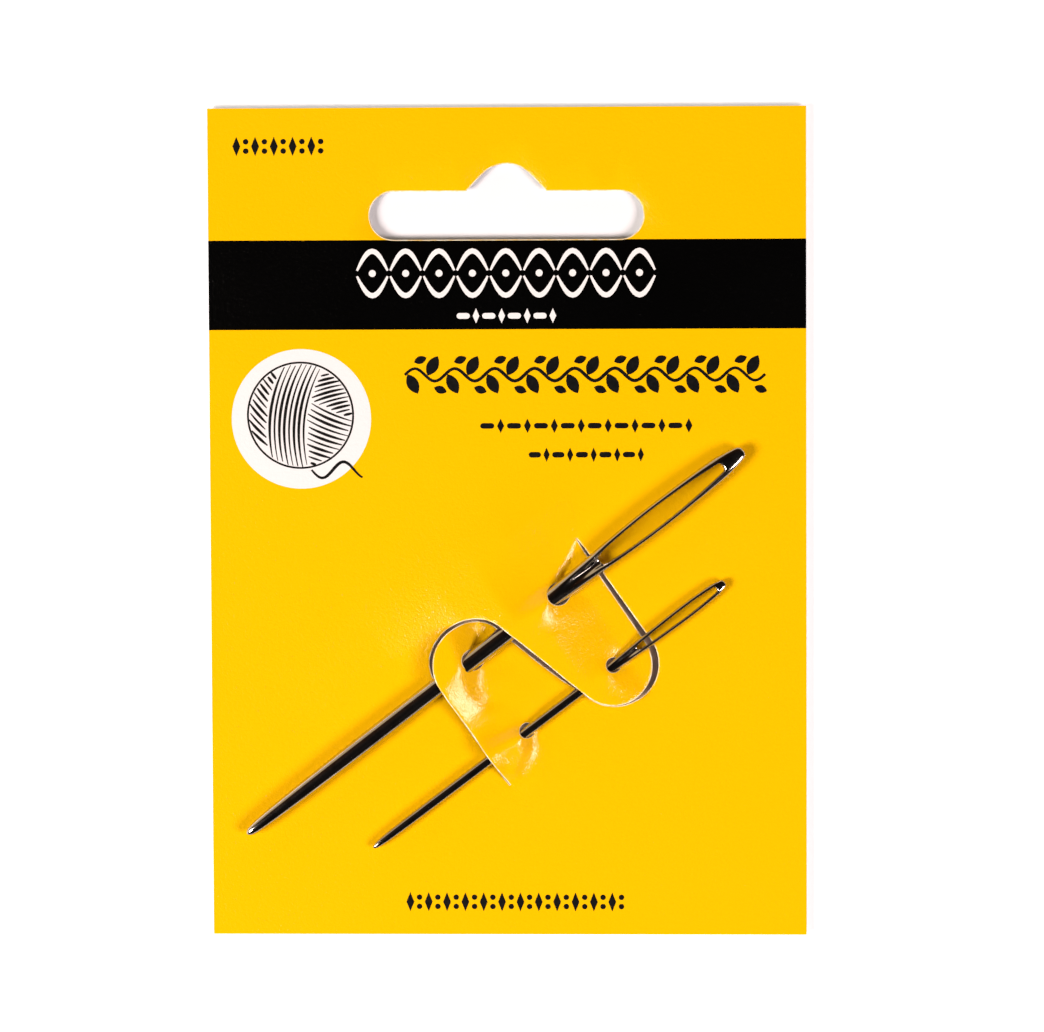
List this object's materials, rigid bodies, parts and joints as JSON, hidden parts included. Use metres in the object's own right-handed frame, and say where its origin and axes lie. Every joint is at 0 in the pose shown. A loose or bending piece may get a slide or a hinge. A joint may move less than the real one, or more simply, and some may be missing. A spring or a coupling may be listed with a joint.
{
  "type": "carded yarn needle set",
  "caption": "Blunt steel yarn needles with long eyes, threaded through the tongues of a flat hanging card with a euro slot.",
  "frame": {"origin": "centre of the card's back face, which lies on Z = 0", "axes": "+X to the card's right, +Y up the card to its hanging slot, +Z out of the printed face"},
  "size_m": [0.07, 0.0974, 0.0037],
  "materials": {
    "board": "satin",
    "needle_steel": "polished"
  },
  "bodies": {
    "card": {"card": "board"},
    "large_needle": {"large_needle": "needle_steel"},
    "small_needle": {"small_needle": "needle_steel"}
  },
  "joints": [
    {"name": "large_needle_slide", "type": "slide", "parent": "card", "child": "large_needle", "axis": [0.7913, 0.6114, 0], "range_m": [0, 0.085]},
    {"name": "small_needle_slide", "type": "slide", "parent": "card", "child": "small_needle", "axis": [0.7973, 0.6036, 0], "range_m": [0, 0.066]}
  ]
}
